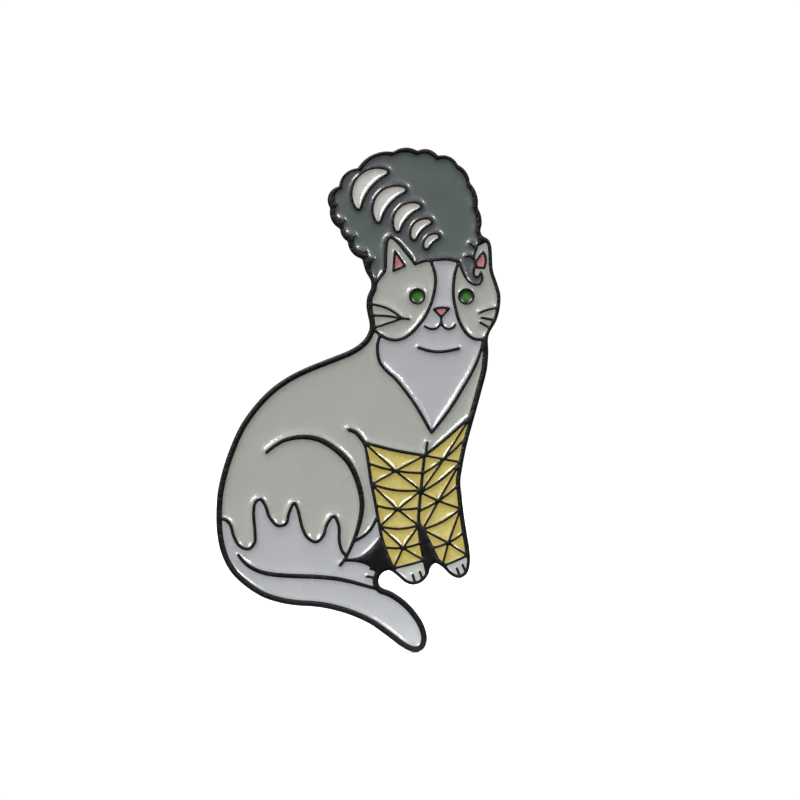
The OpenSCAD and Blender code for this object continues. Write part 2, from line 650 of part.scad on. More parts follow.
die_struck_plate();
post(upper_post);  // post_upper
post(lower_post);  // post_lower
enamel(quiff_grey) quiff_cell();  // enamel_quiff
for (i = [1:CURLS])
    enamel(cream) curl_cell(i);
enamel(coat_grey) face_left_cell();  // enamel_face_left
enamel(coat_grey) face_right_cell();  // enamel_face_right
enamel(pink) inner_ear_cell(inner_ear_left);  // enamel_inner_ear_left
enamel(pink) inner_ear_cell(inner_ear_right);  // enamel_inner_ear_right
enamel(coat_grey) whisker_wedge_cell(0);  // enamel_whisker_wedge_upper
enamel(coat_grey) whisker_wedge_cell(1);  // enamel_whisker_wedge_lower
enamel(pale_grey) blaze_bib_cell();  // enamel_blaze_bib
enamel(green) eye_cell(eye_left);  // enamel_eye_left
enamel(green) eye_cell(eye_right);  // enamel_eye_right
enamel(pink) nose_cell();  // enamel_nose
enamel(coat_grey) coat_cell();  // enamel_coat
enamel(pale_grey) belly_tail_cell();  // enamel_belly_tail
enamel(pale_grey) hind_foot_cell();  // enamel_hind_foot
for (leg = ["left", "right"]) for (i = [1:BANDS])
    enamel(yellow) band_cell(leg, i);
enamel(pale_grey) paw_cell("left");  // enamel_paw_left
enamel(pale_grey) paw_cell("right");  // enamel_paw_right
clutch_base(upper_post);  // clutch_upper_base
clutch_cover(upper_post);  // clutch_upper_cover
clutch_spring(upper_post);  // clutch_upper_spring
clutch_wing_left(upper_post);  // clutch_upper_wing_left
clutch_wing_right(upper_post);  // clutch_upper_wing_right
clutch_base(lower_post);  // clutch_lower_base
clutch_cover(lower_post);  // clutch_lower_cover
clutch_spring(lower_post);  // clutch_lower_spring
clutch_wing_left(lower_post);  // clutch_lower_wing_left
clutch_wing_right(lower_post);  // clutch_lower_wing_right
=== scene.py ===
"""The looks of a soft-enamel lapel pin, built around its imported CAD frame.

The picture lies in the plane of X and Z and faces -Y. Outlines are (x, z) points in millimetres, and a
depth is a distance in front of the plate's flat back, so that a point lies at (x, -depth, z).
"""

import json
from math import ceil, cos, pi, radians, sin, sqrt

import bmesh
import bpy
import numpy as np
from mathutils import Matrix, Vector, kdtree, noise
from mathutils.geometry import delaunay_2d_cdt

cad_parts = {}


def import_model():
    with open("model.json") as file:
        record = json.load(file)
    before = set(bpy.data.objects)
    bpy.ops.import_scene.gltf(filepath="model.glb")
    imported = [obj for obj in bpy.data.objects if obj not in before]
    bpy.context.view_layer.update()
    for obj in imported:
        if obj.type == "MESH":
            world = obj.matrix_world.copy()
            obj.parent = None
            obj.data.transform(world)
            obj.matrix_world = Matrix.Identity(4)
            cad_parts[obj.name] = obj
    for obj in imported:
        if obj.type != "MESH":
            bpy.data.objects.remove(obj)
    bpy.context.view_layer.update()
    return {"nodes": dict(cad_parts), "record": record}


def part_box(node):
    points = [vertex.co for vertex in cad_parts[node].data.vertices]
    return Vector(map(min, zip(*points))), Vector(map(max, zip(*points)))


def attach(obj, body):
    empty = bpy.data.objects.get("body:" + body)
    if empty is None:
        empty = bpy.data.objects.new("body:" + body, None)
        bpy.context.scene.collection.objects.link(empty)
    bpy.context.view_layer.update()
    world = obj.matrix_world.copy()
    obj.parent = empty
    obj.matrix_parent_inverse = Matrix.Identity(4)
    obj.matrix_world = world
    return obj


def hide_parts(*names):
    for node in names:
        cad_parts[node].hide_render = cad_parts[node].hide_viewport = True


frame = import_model()

MM = 0.001

# From the frame: the plate's lowest corner, and the depths of the raised lines, the enamel and its floor
PLATE_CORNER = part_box("die_struck_plate")[0]
TOP = -PLATE_CORNER.y / MM
POOL = -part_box("enamel_coat")[0].y / MM
FLOOR = -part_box("enamel_coat")[1].y / MM

# Rounding of the raised lines, of the plate's outer edge and of its back edge
LINE_ROUND = 0.07
RIM_ROUND = 0.2
BACK_ROUND = 0.12
# How much a wide line's middle stands above its edges, and how far from an edge that rise ends
CROWN, CROWN_REACH = 0.07, 0.3
# How far the enamel's edge lies below the lines, and how far its rise at a wall reaches
EDGE_DROP = LINE_ROUND + 0.005
MENISCUS_REACH = 0.4
# Length of the steps along an outline, and the spacing of the points over each face
STEP = 0.08
POOL_SPACING, LINE_SPACING, BACK_SPACING = 0.5, 0.35, 1.5
# Distances of the rows of points beside the walls, on each face
POOL_ROWS = (0.05, 0.11, 0.19, 0.29, 0.42, 0.6)
LINE_ROWS = (0.012, 0.03, 0.055, LINE_ROUND)
RIM_ROWS = (0.015, 0.045, 0.1, RIM_ROUND)
BACK_ROWS = (0.012, 0.04, 0.075, BACK_ROUND)
# Unevenness of the enamel and of the black metal: size across, height and seed
POOL_RIPPLE = (1.6, 0.012, 3.0)
METAL_PITS = (0.3, 0.045, 9.0)

# The posts: places, radii of the shank and of the head, depth of the head's socket, length
UPPER_POST, LOWER_POST = (5.5, 18), (-2.5, -9.5)
POST_R, HEAD_R, SOCKET_DEPTH, POST_LEN = 0.55, 1.0, 0.35, 8
GROOVE_HEIGHTS, GROOVE_DEPTH = (2.4, 5.4), 0.1

# The clutches. Heights are measured from the front of the dish, which lies GAP behind the plate.
GAP = 2.2
# The dish: outside radius, sheet, rolled rim, bore, boss round the bore, and the cover's play in it
DISH_R, DISH_T, RIM_T = 5.6, 0.4, 0.45
BORE_R, BOSS_H = POST_R + 0.07, DISH_T + 0.25
FLANGE_CLEARANCE = 0.06
# The cover: height, sheet, hole for the post, flange under the dish's lip, half sizes of its box, windows
COVER_H, COVER_T, HOLE_R = 3.9, 0.35, POST_R + 0.35
FLANGE_R, FLANGE_LOW = DISH_R - RIM_T - 0.1, DISH_T + FLANGE_CLEARANCE
FLANGE_TOP = FLANGE_LOW + COVER_T
LIP_H = FLANGE_TOP + FLANGE_CLEARANCE
BOX_X, BOX_Z, BOX_CORNER = 3.5, 3.2, 1
WINDOW_H, WINDOW_CLEARANCE = 2.3, 0.15
# The spring: radii of its ring and of its wire, and height of the ring under the cover's top
RING_R, WIRE_R = 1.45, 0.225
SPRING_H = COVER_H - COVER_T - WIRE_R
# The wings: the jaw, the widths, the sheet, and the knuckle that a wing rocks on
JAW_GAP, JAW_H, JAW_CLEARANCE = 0.12, 1.42, 0.04
WING_W, WING_T = 4.4, 0.45
WING_TIP_W = WING_W + 1.4
KNUCKLE_AT, KNUCKLE_R = (2.35, 2.4), 0.34
# Points round a circle of a clutch
AROUND = 128


# ---------------------------------------------------------------- outlines


def face_outlines(node, depth):
    """Closed outlines of a CAD node's flat face at a depth. From the front, the face is on their left."""
    mesh = frame["nodes"][node].data
    keys = [tuple(round(c * 1e7) for c in v.co) for v in mesh.vertices]
    edges = set()
    for polygon in mesh.polygons:
        corners = [keys[i] for i in polygon.vertices]
        if all(abs(c[1] / 1e4 + depth) < 0.002 for c in corners):
            edges.update(zip(corners, corners[1:] + corners[:1]))
    after = {a: b for a, b in edges if (b, a) not in edges}
    outlines = []
    for start in sorted(after):
        if start not in after:
            continue
        loop, point = [start], after.pop(start)
        while point != start:
            loop.append(point)
            point = after.pop(point)
        outlines.append(np.array([(p[0], p[2]) for p in loop]) / 1e4)
    return outlines


def evenly(points, step):
    """The same closed outline in even steps, at least 12 of them."""
    closed = np.vstack([points, points[:1]])
    along = np.concatenate([[0], np.cumsum(np.linalg.norm(np.diff(closed, axis=0), axis=1))])
    at = np.linspace(0, along[-1], max(12, ceil(along[-1] / step)), endpoint=False)
    return np.stack([np.interp(at, along, closed[:, i]) for i in (0, 1)], axis=1)


def smooth_outline(points, corner=30, passes=3):
    """A smooth outline through the points, a cubic between each two, its slopes taken from their neighbours.

    A turn sharper than `corner` degrees stays a corner, a little rounded.
    """
    before, after = np.roll(points, 1, 0), np.roll(points, -1, 0)
    back, ahead = points - before, after - points
    u = np.linalg.norm(back, axis=1)[:, None]
    v = np.linalg.norm(ahead, axis=1)[:, None]
    turn = np.degrees(np.arccos(np.clip(np.sum(back * ahead, axis=1) / (u * v)[:, 0], -1, 1)))
    slope = (back * v / u + ahead * u / v) / (u + v)
    sharp = (turn > corner)[:, None]
    leaving = np.where(sharp, ahead / v, slope)
    arriving = np.where(sharp, back / u, slope)
    fine = []
    for i in range(len(points)):
        j = (i + 1) % len(points)
        length = v[i, 0]
        start = leaving[i] * min(length, 3 * u[i, 0])
        end = arriving[j] * min(length, 3 * v[j, 0])
        for t in np.linspace(0, 1, ceil(length / STEP) + 1)[:-1]:
            fine.append(
                points[i] * (2 * t**3 - 3 * t**2 + 1)
                + start * (t**3 - 2 * t**2 + t)
                + points[j] * (3 * t**2 - 2 * t**3)
                + end * (t**3 - t**2)
            )
    outline = evenly(np.array(fine), STEP)
    for _ in range(passes):
        outline = (np.roll(outline, 1, 0) + 2 * outline + np.roll(outline, -1, 0)) / 4
    return outline


def area(outline):
    """The area that an outline encloses, negative when it runs clockwise."""
    x, z = outline[:, 0], outline[:, 1]
    return float(np.sum(x * np.roll(z, -1) - np.roll(x, -1) * z)) / 2


def inward(outline):
    """Unit directions from the points of an outline to its left."""
    ahead = np.roll(outline, -1, 0) - np.roll(outline, 1, 0)
    ahead /= np.linalg.norm(ahead, axis=1)[:, None]
    return np.stack([-ahead[:, 1], ahead[:, 0]], axis=1)


def distances(points, outlines):
    """Distance from each point to the nearest of the outlines."""
    starts = np.vstack(outlines)
    ends = np.vstack([np.roll(o, -1, 0) for o in outlines])
    firsts = first_indices(outlines)
    before = np.concatenate([np.roll(np.arange(len(o)), 1) + first for o, first in zip(outlines, firsts)])
    tree = kdtree.KDTree(len(starts))
    for i, p in enumerate(starts):
        tree.insert((p[0], p[1], 0), i)
    tree.balance()
    near = np.array([[i for _, i, _ in tree.find_n((p[0], p[1], 0), 3)] for p in points])
    best = np.full(len(points), np.inf)
    for segment in [near[:, k] for k in range(3)] + [before[near[:, k]] for k in range(3)]:
        a, b = starts[segment], ends[segment]
        along = np.sum((points - a) * (b - a), axis=1) / np.maximum(np.sum((b - a) ** 2, axis=1), 1e-12)
        foot = a + (b - a) * np.clip(along, 0, 1)[:, None]
        best = np.minimum(best, np.linalg.norm(points - foot, axis=1))
    return best


def first_indices(outlines):
    """Where each outline's points begin when all are in one list."""
    return np.cumsum([0] + [len(o) for o in outlines[:-1]])


def rings(outlines, depths, limits):
    """Rows of points on the outlines' left, at each depth, except where one of the limits is nearer."""
    clearly = 0.93
    found = []
    for depth in depths:
        ring = np.vstack([o + inward(o) * depth for o in outlines])
        found.append(ring[distances(ring, limits) > clearly * depth])
    return np.vstack(found)


def grid(outlines, spacing, margin):
    """Points of a triangular grid over the outlines' box, at least `margin` from them."""
    low, high = np.vstack(outlines).min(0), np.vstack(outlines).max(0)
    rows = []
    for i, z in enumerate(np.arange(low[1], high[1], spacing * 0.87)):
        rows += [(x, z) for x in np.arange(low[0] + (i % 2) * spacing / 2, high[0], spacing)]
    points = np.array(rows).reshape(-1, 2)
    return points[distances(points, outlines) > margin] if len(points) else points


def fill(outlines, inner):
    """Triangles over the area on the left of the outlines. Returns their points and corners."""
    given = np.vstack([*outlines, inner])
    constraints = []
    for outline, first in zip(outlines, first_indices(outlines)):
        n = len(outline)
        constraints += [(int(first + i), int(first + (i + 1) % n)) for i in range(n)]
    corners, _, faces, sources, _, _ = delaunay_2d_cdt([Vector(p) for p in given], constraints, [], 0, 1e-6)
    added = [corner[:] for corner, source in zip(corners, sources) if not source]
    points = np.vstack([given, added or np.empty((0, 2))])
    extra = iter(range(len(given), len(points)))
    index = [source[0] if source else next(extra) for source in sources]
    triangles = [tuple(index[i] for i in face) for face in faces]
    return points, inside(triangles, set(constraints))


def inside(triangles, constraints):
    """The triangles on the left of the constraints."""
    owner = {}
    for t, (a, b, c) in enumerate(triangles):
        owner[a, b] = owner[b, c] = owner[c, a] = t
    waiting = [owner[edge] for edge in constraints if edge in owner]
    kept = set(waiting)
    while waiting:
        a, b, c = triangles[waiting.pop()]
        for edge in ((a, b), (b, c), (c, a)):
            other = owner.get(edge[::-1])
            if other is not None and other not in kept and edge not in constraints:
                kept.add(other)
                waiting.append(other)
    return [triangles[t] for t in sorted(kept)]


# ---------------------------------------------------------------- mesh helpers


def make_piece(name, points, faces, material):
    """A mesh object from points in millimetres, welded, with its faces turned outwards."""
    mesh = bpy.data.meshes.new(name)
    mesh.from_pydata([tuple(c * MM for c in p) for p in points], [], faces)
    work = bmesh.new()
    work.from_mesh(mesh)
    bmesh.ops.remove_doubles(work, verts=work.verts, dist=1e-7)
    bmesh.ops.dissolve_degenerate(work, dist=1e-8, edges=work.edges)
    bmesh.ops.recalc_face_normals(work, faces=work.faces)
    work.to_mesh(mesh)
    work.free()
    mesh.polygons.foreach_set("use_smooth", [True] * len(mesh.polygons))
    mesh.materials.append(material)
    piece = bpy.data.objects.new(name, mesh)
    bpy.context.scene.collection.objects.link(piece)
    return piece


def at_depth(points, depth):
    """Points of the picture at a depth, or at a depth for each."""
    depth = np.broadcast_to(depth, len(points))
    return [(p[0], -d, p[1]) for p, d in zip(points, depth)]


def wall(outline, front, back):
    """Points and faces of a wall along an outline between two depths."""
    n = len(outline)
    faces = [(i, (i + 1) % n, n + (i + 1) % n, n + i) for i in range(n)]
    return at_depth(outline, front) + at_depth(outline, back), faces


def joined(parts):
    """One list of points and one of faces from several."""
    points, faces = [], []
    for part_points, part_faces in parts:
        first = len(points)
        points += list(part_points)
        faces += [tuple(first + i for i in face) for face in part_faces]
    return points, faces


def smooth_by_angle(piece, degrees=35):
    """Sharp edges where faces meet at more than an angle."""
    piece.data.set_sharp_from_angle(angle=radians(degrees))


# ---------------------------------------------------------------- plate and enamel


def rounding(distance, radius):
    """How far a rounded edge has fallen at a distance from the edge's wall."""
    reach = radius - np.minimum(distance, radius)
    return radius - np.sqrt(np.maximum(radius**2 - reach**2, 0))


def ties(points, triangles):
    """Pairs of corners and how strongly the triangles tie them, and each corner's share of the area."""
    corners = np.array(triangles)
    p = points[corners]
    double_area = np.abs(np.cross(p[:, 1] - p[:, 0], p[:, 2] - p[:, 0]))
    first, second, weight = [], [], []
    mass = np.zeros(len(points))
    for k in range(3):
        i, j = (k + 1) % 3, (k + 2) % 3
        dot = np.sum((p[:, i] - p[:, k]) * (p[:, j] - p[:, k]), axis=1)
        first.append(corners[:, i])
        second.append(corners[:, j])
        weight.append(np.maximum(dot / np.maximum(double_area, 1e-9), 0) / 2)
        mass += np.bincount(corners[:, k], double_area / 6, len(points))
    return np.concatenate(first), np.concatenate(second), np.concatenate(weight), mass


def meniscus(points, triangles, pinned, reach):
    """1 at the first `pinned` points, dying away from them as the surface of a liquid does from a wall."""
    n = len(points)
    first, second, weight, mass = ties(points, triangles)
    total = np.bincount(first, weight, n) + np.bincount(second, weight, n)
    diagonal = mass + reach**2 * total + 1e-12
    free = np.arange(n) >= pinned

    def apply(u):
        """The pull of weight and surface tension on each free point."""
        spread = np.bincount(first, weight * u[second], n) + np.bincount(second, weight * u[first], n)
        return np.where(free, diagonal * u - reach**2 * spread, 0)

    u = np.where(free, 0.0, 1.0)
    residual = -apply(u)
    step = residual / diagonal
    strength = residual @ step
    direction = step.copy()
    for _ in range(400):
        if strength < 1e-14:
            break
        image = apply(direction)
        share = strength / (direction @ image)
        u += share * direction
        residual -= share * image
        step = residual / diagonal
        renewed = residual @ step
        direction = step + renewed / strength * direction
        strength = renewed
    return np.clip(u, 0, 1)


def ripple(points, size, height, seed):
    """A gentle unevenness, up to `height`, with bumps about `size` across."""
    return np.array([noise.noise(Vector((p[0] / size, p[1] / size, seed))) for p in points]) * height


def enamel_pool(node, outlines, material):
    """One pool of hardened enamel: it climbs the metal at its edge and lies lower in the middle."""
    walls = sum(len(o) for o in outlines)
    inner = [rings(outlines, POOL_ROWS, outlines), grid(outlines, POOL_SPACING, 1.5 * POOL_SPACING)]
    points, triangles = fill(outlines, np.vstack(inner))
    rise = meniscus(points, triangles, walls, MENISCUS_REACH)
    depth = POOL + (TOP - POOL - EDGE_DROP) * rise
    depth += ripple(points, *POOL_RIPPLE) * (1 - rise)
    flat, flat_triangles = fill(outlines, np.empty((0, 2)))
    parts = [(at_depth(points, depth), triangles), (at_depth(flat, FLOOR), flat_triangles)]
    parts += [wall(o, TOP - EDGE_DROP, FLOOR) for o in outlines]
    piece = make_piece(node + "_pool", *joined(parts), material)
    mark_near_wall(piece, points, rise)
    smooth_by_angle(piece, 50)
    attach(piece, "pin")
    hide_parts(node)
    return piece


def mark_near_wall(piece, points, rise):
    """Give each vertex of a pool its rise, from the nearest point, for the material to read."""
    nearest = kdtree.KDTree(len(points))
    for i, p in enumerate(points):
        nearest.insert((p[0], p[1], 0), i)
    nearest.balance()
    values = [rise[nearest.find((v.co.x / MM, v.co.z / MM, 0))[1]] for v in piece.data.vertices]
    piece.data.attributes.new("near_wall", "FLOAT", "POINT").data.foreach_set("value", values)


def struck_face(outline, holes):
    """The plate's front, round its pockets: points, triangles and depths."""
    edges = [outline] + holes
    inner = [
        rings(holes, LINE_ROWS, edges),
        rings([outline], RIM_ROWS, edges),
        grid(edges, LINE_SPACING, 0.2),
    ]
    points, triangles = fill(edges, np.vstack(inner))
    drop = np.maximum(
        rounding(distances(points, holes), LINE_ROUND),
        rounding(distances(points, [outline]), RIM_ROUND),
    )
    crown = CROWN * (1 - np.minimum(distances(points, edges) / CROWN_REACH, 1)) ** 2
    return points, triangles, TOP - np.maximum(drop, crown) - np.abs(ripple(points, *METAL_PITS))


def flat_back(outline):
    """The plate's back with its rounded edge: points in space and triangles."""
    inner = [rings([outline], BACK_ROWS, [outline]), grid([outline], BACK_SPACING, 0.4)]
    points, triangles = fill([outline], np.vstack(inner))
    return at_depth(points, rounding(distances(points, [outline]), BACK_ROUND)), triangles


def plate(outline, cells, material):
    """The struck plate: rounded raised lines, pockets for the enamel, a trimmed edge and a flat back."""
    holes = [cell[::-1] for cell in cells]
    points, triangles, depth = struck_face(outline, holes)
    parts = [(at_depth(points, depth), triangles)]
    waist = (TOP + BACK_ROUND) / 2
    parts.append(wall(outline, depth[: len(outline)], waist))
    parts.append(wall(outline, waist, BACK_ROUND))
    first = len(outline)
    for hole, cell in zip(holes, cells):
        parts.append(wall(hole, depth[first : first + len(hole)], FLOOR))
        parts.append((at_depth(cell, FLOOR), [tuple(range(len(cell)))]))
        first += len(hole)
    parts.append(flat_back(outline))
    piece = make_piece("struck_plate", *joined(parts), material)
    smooth_by_angle(piece, 50)
    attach(piece, "pin")
    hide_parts("die_struck_plate")
    return piece


# ---------------------------------------------------------------- posts and clutches


def softened(points, radius, closed=True, steps=4):
    """The same polygon with its corners rounded off."""
    n = len(points)
    made = []
    for i, p in enumerate(points):
        p = Vector(p)
        before, after = Vector(points[i - 1]), Vector(points[(i + 1) % n])
        if not closed and i in (0, n - 1):
            made.append(tuple(p))
            continue
        cut = min(radius, 0.45 * (before - p).length, 0.45 * (after - p).length)
        start = p + (before - p).normalized() * cut
        end = p + (after - p).normalized() * cut
        for k in range(steps + 1):
            t = k / steps
            made.append(tuple(start * (1 - t) ** 2 + p * 2 * t * (1 - t) + end * t**2))
    return made


def loft(loops, closed=False):
    """Faces between loops of equally many points."""
    n = len(loops[0])
    points = [p for loop in loops for p in loop]
    faces = []
    for i in range(len(loops) if closed else len(loops) - 1):
        a, b = i * n, (i + 1) % len(loops) * n
        faces += [(a + j, a + (j + 1) % n, b + (j + 1) % n, b + j) for j in range(n)]
    return points, faces


def circle(radius, count=96):
    """Points round a circle about the origin."""
    return [(radius * cos(2 * pi * k / count), radius * sin(2 * pi * k / count)) for k in range(count)]


def on_post(at, points, start=0.0):
    """Points (x, z, height) about a post's axis, moved to that post."""
    return [(at[0] + p[0], start + p[2], at[1] + p[1]) for p in points]


def lathe(profile, closed, count=96):
    """A body turned from a profile of (radius, height). An open one begins and ends on the axis."""
    loops = [[(x, z, h) for x, z in circle(max(r, 1e-4), count)] for r, h in profile]
    return loft(loops, closed)


def groove(height):
    """A grip groove in a post's profile, its middle at a height."""
    edge, deep = POST_R - 0.02, POST_R - GROOVE_DEPTH
    return [
        (POST_R, height - 0.32), (edge, height - 0.24), (deep, height - 0.04),
        (deep, height + 0.04), (edge, height + 0.24), (POST_R, height + 0.32),
    ]


def post(name, node, at):
    """A post soldered to the plate by its flat head, with two grip grooves and a point."""
    solder = 0.035
    profile = [(0, -SOCKET_DEPTH), (HEAD_R, -SOCKET_DEPTH), (HEAD_R, solder)]
    profile += [(POST_R + 0.12, solder), (POST_R, 0.16)]
    for height in GROOVE_HEIGHTS:
        profile += groove(height)
    profile += [(POST_R, POST_LEN - 1.1), (0.14, POST_LEN - 0.07), (0.05, POST_LEN - 0.01), (0, POST_LEN)]
    points, faces = lathe(softened(profile, 0.06, closed=False), closed=False)
    piece = make_piece(name, on_post(at, points), faces, POST_METAL)
    smooth_by_angle(piece)
    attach(piece, "pin")
    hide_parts(node)
    return piece


def clutch_base(name, node, at, body):
    """The dish of a clutch, with its edge rolled over the cover's flange and a boss round its bore."""
    inside_r, lip_r = DISH_R - RIM_T, DISH_R - RIM_T - 0.35
    profile = [
        (BORE_R, 0), (DISH_R - 0.3, 0), (DISH_R, 0.3), (DISH_R, LIP_H + 0.2), (DISH_R - 0.2, LIP_H + 0.4),
        (lip_r, LIP_H + 0.4), (lip_r, LIP_H), (inside_r, LIP_H), (inside_r, DISH_T),
        (BORE_R + 0.5, DISH_T), (BORE_R + 0.4, BOSS_H), (BORE_R, BOSS_H),
    ]
    points, faces = lathe(softened(profile, 0.16), closed=True, count=AROUND)
    piece = make_piece(name, on_post(at, points, GAP), faces, BRASS)
    smooth_by_angle(piece)
    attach(piece, body)
    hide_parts(node)
    return piece


def box_outline(inset=0.0):
    """The clutch box's outline, a rounded rectangle, met at even turns about its middle."""
    half = Vector((BOX_X - inset, BOX_Z - inset))
    corner = max(BOX_CORNER - inset, 0.3)
    outline = []
    for x, z in circle(1, AROUND):
        low, high = 0.0, 8.0
        for _ in range(30):
            reach = (low + high) / 2
            dx = max(abs(x * reach) - half.x + corner, 0)
            dz = max(abs(z * reach) - half.y + corner, 0)
            if sqrt(dx * dx + dz * dz) < corner:
                low = reach
            else:
                high = reach
        outline.append((x * low, z * low))
    return outline


def between(first, second, t):
    """An outline part of the way from one to another."""
    return [(a[0] + (b[0] - a[0]) * t, a[1] + (b[1] - a[1]) * t) for a, b in zip(first, second)]


def cover_shell():
    """The cover without its windows: flange, box, drawn radii and the hole for the post, one closed skin."""
    flange, hole = circle(FLANGE_R, AROUND), circle(HOLE_R, AROUND)
    foot, brow = box_outline(-0.35), box_outline(0.42)
    ceiling = COVER_H - COVER_T
    outside = [
        (flange, FLANGE_LOW), (flange, FLANGE_LOW + 0.03), (flange, FLANGE_TOP - 0.03),
        (between(flange, foot, 0.03), FLANGE_TOP), (between(flange, foot, 0.6), FLANGE_TOP),
        (box_outline(-0.3), FLANGE_TOP), (box_outline(-0.18), FLANGE_TOP + 0.03),
        (box_outline(-0.08), FLANGE_TOP + 0.1), (box_outline(-0.02), FLANGE_TOP + 0.2),
        (box_outline(), FLANGE_TOP + 0.34), (box_outline(), 2), (box_outline(), COVER_H - 0.4),
        (box_outline(0.03), COVER_H - 0.25), (box_outline(0.12), COVER_H - 0.11),
        (box_outline(0.26), COVER_H - 0.03), (brow, COVER_H), (between(brow, hole, 0.5), COVER_H),
        (between(brow, hole, 0.93), COVER_H), (between(brow, hole, 0.985), COVER_H - 0.025),
        (hole, COVER_H - 0.08),
    ]
    within = [
        (hole, ceiling + 0.05), (between(brow, hole, 0.97), ceiling), (between(brow, hole, 0.5), ceiling),
        (box_outline(0.5), ceiling), (box_outline(0.4), ceiling - 0.05), (box_outline(0.35), ceiling - 0.17),
        (box_outline(0.35), 1.2), (box_outline(0.3), 0.7), (box_outline(0.05), FLANGE_LOW + 0.04),
        (box_outline(-0.1), FLANGE_LOW), (between(flange, foot, 0.5), FLANGE_LOW),
    ]
    return loft([[(x, z, h) for x, z in loop] for loop, h in outside + within], closed=True)


def cut_away(piece, cutter, bevel):
    """Take the cutter out of the piece, and ease the new edges."""
    cut = piece.modifiers.new("window", "BOOLEAN")
    cut.operation, cut.solver, cut.object = "DIFFERENCE", "EXACT", cutter
    ease = piece.modifiers.new("ease", "BEVEL")
    ease.width, ease.segments, ease.limit_method = bevel * MM, 2, "ANGLE"
    ease.angle_limit = radians(50)
    bpy.context.view_layer.update()
    made = bpy.data.meshes.new_from_object(piece.evaluated_get(bpy.context.evaluated_depsgraph_get()))
    piece.modifiers.clear()
    piece.data = made
    bpy.data.objects.remove(cutter)


def clutch_cover(name, node, at, body):
    """The drawn cover that holds the spring and the wings, with a window for each wing."""
    points, faces = cover_shell()
    piece = make_piece(name, on_post(at, points, GAP), faces, BRASS)
    half, ceiling = WING_W / 2 + WINDOW_CLEARANCE, COVER_H - COVER_T
    window = softened([(-half, WINDOW_H), (half, WINDOW_H), (half, ceiling), (-half, ceiling)], 0.3)
    ends = [[(x, z, h) for z, h in window] for x in (-5, 5)]
    points, faces = loft(ends)
    count = len(window)
    faces += [tuple(range(count)), tuple(range(count, 2 * count))]
    cutter = make_piece("cutter", on_post(at, points, GAP), faces, BRASS)
    cut_away(piece, cutter, 0.05)
    smooth_by_angle(piece, 40)
    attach(piece, body)
    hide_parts(node)
    return piece


def clutch_spring(name, node, at, body):
    """The wire that presses the wings together: a ring whose ends nearly meet."""
    gap, steps, around = radians(7), 72, 20
    loops = []
    for k in range(steps + 1):
        turn = gap + (2 * pi - 2 * gap) * k / steps
        thick = WIRE_R * (0.55 if k in (0, steps) else 1)
        section = [(RING_R + x, SPRING_H + h) for x, h in circle(thick, around)]
        loops.append([(r * cos(turn), r * sin(turn), h) for r, h in section])
    points, faces = loft(loops)
    faces += [tuple(range(around)), tuple(range(len(points) - around, len(points)))]
    piece = make_piece(name, on_post(at, points, GAP), faces, SPRING_STEEL)
    smooth_by_angle(piece, 50)
    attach(piece, body)
    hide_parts(node)
    return piece


def wing_line():
    """The wing's middle line from the jaw to the tip: points (x, height), and how far along each one is."""
    corners = [
        (JAW_GAP, JAW_H), (0.9, JAW_H), (1.7, JAW_H + 0.03), (2.12, 1.8), (2.3, 2.3), (2.7, 2.68),
        (3.4, 2.82), (4.3, 3.05), (5.2, 3.6), (5.75, 4.45),
    ]
    line = np.array(softened(corners, 0.4, closed=False, steps=5))
    along = np.concatenate([[0], np.cumsum(np.linalg.norm(np.diff(line, axis=0), axis=1))])
    at = np.linspace(0, along[-1], 90)
    line = np.stack([np.interp(at, along, line[:, k]) for k in (0, 1)], axis=1)
    return line, at


def wing_half_width(x, to_tip):
    """Half the wing's width at a distance from the post and from the tip."""
    half, tip = WING_W / 2, WING_TIP_W / 2
    width = np.interp(x, (3.8, 4.5, 5.4, 7), (half, tip, tip, half - 0.4))
    corner = 0.9
    inset = corner - min(to_tip, corner)
    return width - corner + sqrt(max(corner**2 - inset**2, 0))


def wing_rib(to_tip, v):
    """How far the four ribs stand up at a distance from the tip, `v` of the way to the wing's side."""
    place = (to_tip - 0.35) / 0.42
    if not 0 < place < 4:
        return 0.0
    return 0.05 * (1 - cos(2 * pi * place)) * max(0, min(1, (0.82 - abs(v)) * 10))


def wing_sheets():
    """The two faces of a right-hand wing, each a grid of points (x, z, height), and the size of the grid."""
    line, along = wing_line()
    direction = np.gradient(line, axis=0)
    direction /= np.linalg.norm(direction, axis=1)[:, None]
    normal = np.stack([-direction[:, 1], direction[:, 0]], axis=1)
    across = np.sin(np.linspace(-pi / 2, pi / 2, 41))
    jaw, length, last = POST_R + JAW_CLEARANCE, along[-1], len(line) - 1
    points = []
    for side in (1, -1):
        for i in range(len(line)):
            for v in across:
                z = v * wing_half_width(line[i, 0], length - along[i])
                notch = max(sqrt(max(jaw**2 - z**2, 0)) - line[0, 0], 0)
                s = along[i] + notch * (1 - along[i] / length)
                x, height = [np.interp(s, along, line[:, k]) for k in (0, 1)]
                out_x, out_height = [np.interp(s, along, normal[:, k]) for k in (0, 1)]
                edge = min(min(i, last - i) / 2, (1 - abs(v)) * 28, 1)
                half = WING_T / 2 * (0.72 + 0.28 * sqrt(max(1 - (1 - edge) ** 2, 0)))
                offset = side * half + wing_rib(length - s, v)
                points.append((x + out_x * offset, z, height + out_height * offset))
    return points, len(line), len(across)


